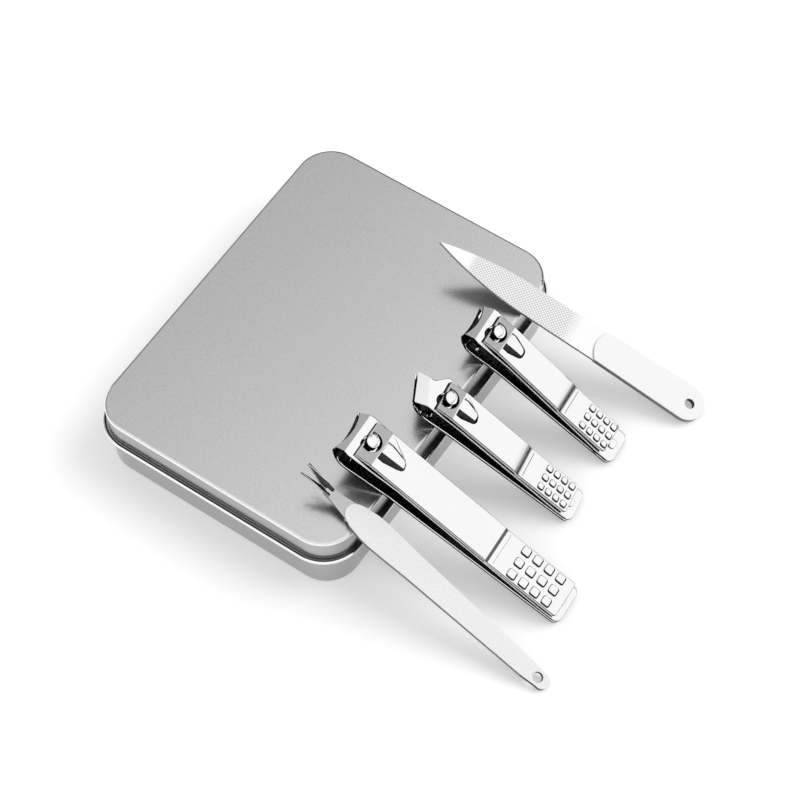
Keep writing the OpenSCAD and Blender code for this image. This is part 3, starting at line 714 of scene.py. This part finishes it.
def cut_pad(lever, tool, step_x, pad_point):
    """Cuts the pad through and between its dimples, so that each one stands in a plain cell."""
    to_tool = WAYS[tool].inverted()
    tops = [to_tool @ v.co for v in lever.data.vertices]
    tops = [p for p in tops
            if p.x < step_x - PAD_START and (p - pad_point).dot(PAD_UP) > DIMPLE_HIGH]
    only(lever)
    bpy.ops.object.mode_set(mode="EDIT")
    bpy.ops.mesh.select_all(action="SELECT")
    bpy.ops.mesh.bisect(plane_co=WAYS[tool] @ Vector((step_x - PAD_CLEAR, 0, 0)),
                        plane_no=WAYS[tool].col[0].to_3d())
    bpy.ops.mesh.mark_seam(clear=False)
    bpy.ops.object.mode_set(mode="OBJECT")
    cuts = 1
    for axis in (0, 1):
        levels = []
        for value in sorted(p[axis] for p in tops):
            if not levels or value - levels[-1] > 0.1 * MM:
                levels.append(value)
        for low, high in zip(levels, levels[1:]):
            place = Vector((0, 0, 0))
            place[axis] = (low + high) / 2
            only(lever)
            bpy.ops.object.mode_set(mode="EDIT")
            bpy.ops.mesh.select_all(action="DESELECT")
            bpy.ops.mesh.select_mode(type="FACE")
            bpy.ops.object.mode_set(mode="OBJECT")
            for face in lever.data.polygons:
                face.select = (to_tool @ face.center).x < step_x - PAD_CLEAR
            bpy.ops.object.mode_set(mode="EDIT")
            bpy.ops.mesh.bisect(plane_co=WAYS[tool] @ place,
                                plane_no=WAYS[tool].col[axis].to_3d())
            bpy.ops.mesh.mark_seam(clear=False)
            bpy.ops.mesh.select_mode(type="VERT")
            bpy.ops.object.mode_set(mode="OBJECT")
            cuts += 1
    return cuts


def soften_punched(lever, tool, step_x, pad_point):
    """Rounds the upright corners of the dimples and of the window, then the dimples' tops."""
    to_tool = WAYS[tool].inverted()

    def lowest(a, b):
        return min((p - pad_point).dot(PAD_UP) for p in (a, b))

    def on_pad(a, b):
        return max(a.x, b.x) < step_x - PAD_START

    def dimple_corner(a, b):
        a, b = to_tool @ a, to_tool @ b
        upright = abs((a - b).normalized().dot(PAD_UP)) > 0.99 and (a - b).length < 0.5 * MM
        return upright and on_pad(a, b) and lowest(a, b) > -0.05 * MM

    def window_corner(a, b):
        a, b = to_tool @ a, to_tool @ b
        upright = abs((a - b).normalized().z) > 0.99 and (a - b).length > 0.5 * MM
        return upright and step_x + 2 * MM < a.x < -6 * MM and abs(a.y) < 2.2 * MM

    def dimple_top(a, b):
        a, b = to_tool @ a, to_tool @ b
        return on_pad(a, b) and lowest(a, b) > DIMPLE_HIGH

    return (bevel_edges(lever, DIMPLE_CORNER, 3, dimple_corner),
            bevel_edges(lever, WINDOW_CORNER, 5, window_corner),
            bevel_edges(lever, DIMPLE_ROUND, 3, dimple_top))


# riser and upright sides: painted shade; slopes: painted grey reflection; cut sides: painted highlight
def lever_face(ahead, side, up):
    if ahead < -0.25 and up > 0.4:
        return RISER
    if up > TOP_UP:
        return BRIGHT if ahead < 0.12 else SLOPE
    if up > 0.9:
        return SLOPE if ahead > 0 else BRIGHT
    if up > 0.4:
        return SLOPE
    if abs(side) > 0.95 and abs(ahead) < 0.1:
        return CUT
    return SIDE


# a lever's rounds all get the painted shade
def lever_round(ahead, side, up):
    return SIDE


def shade_dimples(lever, tool, step_x, pad_point):
    """Dimples get a painted shade where they turn to the tail or to the lever's shaded side, and a painted
    highlight where they turn the other ways.
    """
    to_tool = WAYS[tool].inverted()
    turn = out_of(tool)
    for face in lever.data.polygons:
        p = to_tool @ face.center
        if p.x < step_x - PAD_START and (p - pad_point).dot(PAD_UP) > 0.02 * MM:
            ahead, side, up = turn @ face.normal
            dark = side > DIMPLE_TURN or ahead < -DIMPLE_TURN
            face.material_index = BRIGHT if up > DIMPLE_UP else SIDE if dark else EDGE


def off_groove(tool, groove_x):
    """Says yes to edges away from the groove behind a lever's step, which is too thin to round."""
    to_tool = WAYS[tool].inverted()
    return lambda a, b: max(abs((to_tool @ p).x - groove_x) for p in (a, b)) > GROOVE_CLEAR


for tool in CLIPPERS:
    node = tool + "_lever"
    lever = clipper_plate(node)
    to_tool = WAYS[tool].inverted()
    corners = [to_tool @ lever.data.vertices[i].co for i in riser_of(lever, tool).vertices]
    step = max(corners, key=lambda p: p.z)
    foot = min(corners, key=lambda p: p.z)
    cuts = cut_pad(lever, tool, step.x, foot)
    join_flats(lever)
    lowered = bend_before_step(lever, tool, step.x, step.z)
    softened = soften_punched(lever, tool, step.x, foot)
    sort_faces(lever, tool, lever_face)
    shade_dimples(lever, tool, step.x, foot)
    round_plate(lever, tool, node, LEVER_ROUND, lever_round, off_groove(tool, step.x - GROOVE_BACK))
    print(tool, "lever: step at", round(step.x / MM, 2),
          "cuts", cuts, "lowered", lowered, "softened", softened)

# %% [markdown]
# The window in a lever is a stamped trough: its near wall gets a painted shade and its far wall
# the bright chrome. It is half a cone, pressed into the plate from above.

# %% Troughs in the levers
STRIP_FRONT = -3.7 * MM
PLATE_TOP = 1.9 * MM
TROUGH_WIDE = 3.5 * MM
TROUGH_NARROW = 1.7 * MM
TROUGH_DEPTH = 1.5 * MM
TROUGH_EXTRA = 0.8 * MM
TROUGH_SINK = 0.2 * MM
TROUGH_WALL = 0.12 * MM
WINDOW_LENGTH = {"large": 7.5 * MM, "slant": 6.2 * MM, "small": 6.0 * MM}


def trough(tool):
    length = WINDOW_LENGTH[tool] + TROUGH_EXTRA
    bpy.ops.object.select_all(action="DESELECT")
    bpy.ops.mesh.primitive_cone_add(vertices=48, radius1=TROUGH_NARROW, radius2=TROUGH_WIDE,
                                    depth=length, location=(0, 0, 0))
    piece = bpy.context.object
    piece.name = tool + "_lever_trough"
    bpy.ops.object.mode_set(mode="EDIT")
    bpy.ops.mesh.select_all(action="SELECT")
    bpy.ops.transform.rotate(value=radians(-90), orient_axis="Y", center_override=(0, 0, 0))
    bpy.ops.object.mode_set(mode="OBJECT")
    widest = max(piece.data.vertices, key=lambda v: v.co.yz.length)
    flip = 1 if widest.co.x > 0 else -1
    for v in piece.data.vertices:
        v.co = Vector((flip * v.co.x, v.co.y, v.co.z * TROUGH_DEPTH / TROUGH_WIDE))
    bpy.ops.object.mode_set(mode="EDIT")
    bpy.ops.mesh.select_all(action="SELECT")
    bpy.ops.mesh.bisect(plane_co=(0, 0, -0.05 * MM), plane_no=(0, 0, 1), clear_outer=True)
    bpy.ops.mesh.select_all(action="SELECT")
    bpy.ops.mesh.normals_make_consistent(inside=False)
    bpy.ops.object.mode_set(mode="OBJECT")
    place = Vector((STRIP_FRONT - length / 2, 0, PLATE_TOP - TROUGH_SINK))
    piece.matrix_world = WAYS[tool] @ Matrix.Translation(place)
    only(piece)
    bpy.ops.object.transform_apply(location=True, rotation=True, scale=True)
    wall = piece.modifiers.new("wall", "SOLIDIFY")
    wall.thickness = TROUGH_WALL
    wall.offset = -1
    apply_all(piece)
    wear(piece, chrome_bright, chrome_painted_shade)
    to_tool = WAYS[tool].inverted()
    for face in piece.data.polygons:
        # the near half gets the painted shade, the far half the bright chrome
        face.material_index = SIDE if (to_tool @ face.center).y > 0 else BRIGHT
    smooth(piece, CURVE_ANGLE)
    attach(piece, tool + "_lever")
    return piece


for tool in CLIPPERS:
    print(trough(tool).name, "made")

# %% [markdown]
# The nail file is cut both ways across its blade. The lines are two sets of bands that cross,
# turned into the file's own directions, and they fade at the smooth tip and by the handle.

# %% File blade
HATCH_CUTS = ((radians(38), 0.72 * MM), (radians(-52), 0.792 * MM))
HATCH_FROM = 45.0 * MM
HATCH_TO = 81.0 * MM
HATCH_TONES = (0.90, 0.55)
BLADE_ROUND = 0.12 * MM
WAVE_PERIOD = 20 / 6.2832

file_steel = finish("file steel", (0.86, 0.86, 0.86), 0.5, 0.4)


def in_tool(mat, tool, turn=0.0):
    """Object coordinates turned into a tool's own directions, and by an angle in its plane."""
    place = add(mat, "ShaderNodeTexCoord")
    to_tool = Matrix.Rotation(turn, 4, "Z") @ WAYS[tool].inverted()
    shift = add(mat, "ShaderNodeMapping", Rotation=to_tool.to_euler(), Location=to_tool.translation)
    join(mat, place, "Object", shift, "Vector")
    return shift


def bands(mat, tool, angle, pitch):
    lines = add(mat, "ShaderNodeTexWave", Scale=1 / (pitch * WAVE_PERIOD), Distortion=0.0)
    lines.wave_type = "BANDS"
    lines.bands_direction = "X"
    lines.wave_profile = "SIN"
    join(mat, in_tool(mat, tool, angle), "Vector", lines, "Vector")
    return lines


def blend_math(mat, kind, a, a_name, b, b_name):
    node = mat.node_tree.nodes.new("ShaderNodeMath")
    node.operation = kind
    join(mat, a, a_name, node, 0)
    join(mat, b, b_name, node, 1)
    return node


first_cut, second_cut = (bands(file_steel, "file", *cut) for cut in HATCH_CUTS)
both_cuts = blend_math(file_steel, "MINIMUM", first_cut, "Fac", second_cut, "Fac")
along_file = add(file_steel, "ShaderNodeSeparateXYZ")
join(file_steel, in_tool(file_steel, "file"), "Vector", along_file, 0)
from_handle = add(file_steel, "ShaderNodeMapRange",
                  From_Min=HATCH_FROM - MM, From_Max=HATCH_FROM + 3 * MM)
to_tip = add(file_steel, "ShaderNodeMapRange",
             From_Min=HATCH_TO + MM, From_Max=HATCH_TO - MM)
join(file_steel, along_file, "X", from_handle, "Value")
join(file_steel, along_file, "X", to_tip, "Value")
zone = blend_math(file_steel, "MULTIPLY", from_handle, "Result", to_tip, "Result")
cut_depth = add(file_steel, "ShaderNodeMapRange", From_Max=0.45, To_Min=1.0, To_Max=0.0)
join(file_steel, both_cuts, "Value", cut_depth, "Value")
cut_mask = blend_math(file_steel, "MULTIPLY", cut_depth, "Result", zone, "Value")
two_tone(file_steel, cut_mask, "Value", *HATCH_TONES)
lift = add(file_steel, "ShaderNodeBump", Strength=0.4, Distance=-0.05 * MM)
join(file_steel, cut_mask, "Value", lift, "Height")
join(file_steel, lift, "Normal", shader_of(file_steel), "Normal")
# painted shade: a dark copy of the steel for the blade's sides
file_side_shade = plain_metal("file side shade", 0.2, 1.0, (0.25, 0.4), 900, 0.04)

blade = join_flats(copy_of("file_blade", "file_blade_cut"))
wear(blade, file_steel, file_side_shade)
turn = out_of("file")
for face in blade.data.polygons:
    face.material_index = 0 if (turn @ face.normal).z > 0.5 else 1
round_edges(blade, BLADE_ROUND, material=0)
stand_for(blade, "file_blade")
print("file blade faces:", len(blade.data.polygons))

# %% [markdown]
# Both handles are plates with a fine grain: the file's is pale and even, and the fork's is
# brushed along its length. Their side walls get a grey painted shade, and the wall of each hanging
# hole a near-black painted shade.

# %% Handles
HOLE_REACH = 3.6 * MM
FILE_GRIP_ROUND = 0.2 * MM
FORK_GRIP_ROUND = 0.15 * MM

file_grip = finish("file grip", (0.86, 0.86, 0.86), 0.0, 0.45)
speckle(file_grip, 1500, 0.83, 0.87, (0.4, 0.5), bump=0.1, height=0.05)
# painted shade: a dark grey for the handles' side walls
grip_side_shade = finish("grip side shade", (0.16, 0.16, 0.16), 0.3, 0.5)
speckle(grip_side_shade, 1500, 0.12, 0.2, (0.4, 0.5))
fork_turn = WAYS["fork"].to_euler()
fork_grip = finish("fork grip", (0.8, 0.8, 0.8), 0.3, 0.45)
speckle(fork_grip, 3000, 0.70, 0.88, (0.4, 0.55), bump=0.3, height=0.04,
        stretch=(2, 1, 1), turn=fork_turn)


def dress_flat(node, tool, name, face_finish, edge_finish, width):
    plate = join_flats(copy_of(node, name))
    wear(plate, face_finish, edge_finish, hollow_painted_shade)
    turn = out_of(tool)
    hole = Vector(mount_named(tool + "_hole")["pos_m"])
    for face in plate.data.polygons:
        near_hole = (face.center - hole).length < HOLE_REACH
        # hole walls get the near-black painted shade, the other side walls the grip's painted shade
        face.material_index = 0 if (turn @ face.normal).z > 0.5 else 2 if near_hole else 1
    round_edges(plate, width, material=0)
    stand_for(plate, node)


dress_flat("file_handle", "file", "file_handle_satin", file_grip, grip_side_shade, FILE_GRIP_ROUND)
dress_flat("fork_handle", "fork", "fork_handle_grained", fork_grip, grip_side_shade, FORK_GRIP_ROUND)
print("handles:", "file_handle_satin", "fork_handle_grained")

# %% [markdown]
# The fork's two prongs are a trough cut open: dark inside, with bright rims, on a plain grey neck.

# %% The fork's two prongs are a trough cut open: painted shade inside, with painted highlight rims, on a plain grey neck.
NECK_END = 79.5 * MM
PRONG_ROUND = 0.08 * MM

# painted shade: a dark copy of the steel for the prongs and the blade's sides
prong_painted_shade = plain_metal("prong painted shade", 0.06, 1.0, (0.2, 0.3), 1500, 0.02)
fork_blade = join_flats(copy_of("fork_blade", "fork_blade_ground"))
wear(fork_blade, fork_steel, prong_painted_shade, edge_highlight)
to_fork = WAYS["fork"].inverted()
for face in fork_blade.data.polygons:
    up = (to_fork.to_3x3() @ face.normal).z
    along = (to_fork @ face.center).x
    face.material_index = 1 if up < 0.9 or along > NECK_END else 0
round_edges(fork_blade, PRONG_ROUND, material=2)
stand_for(fork_blade, "fork_blade")
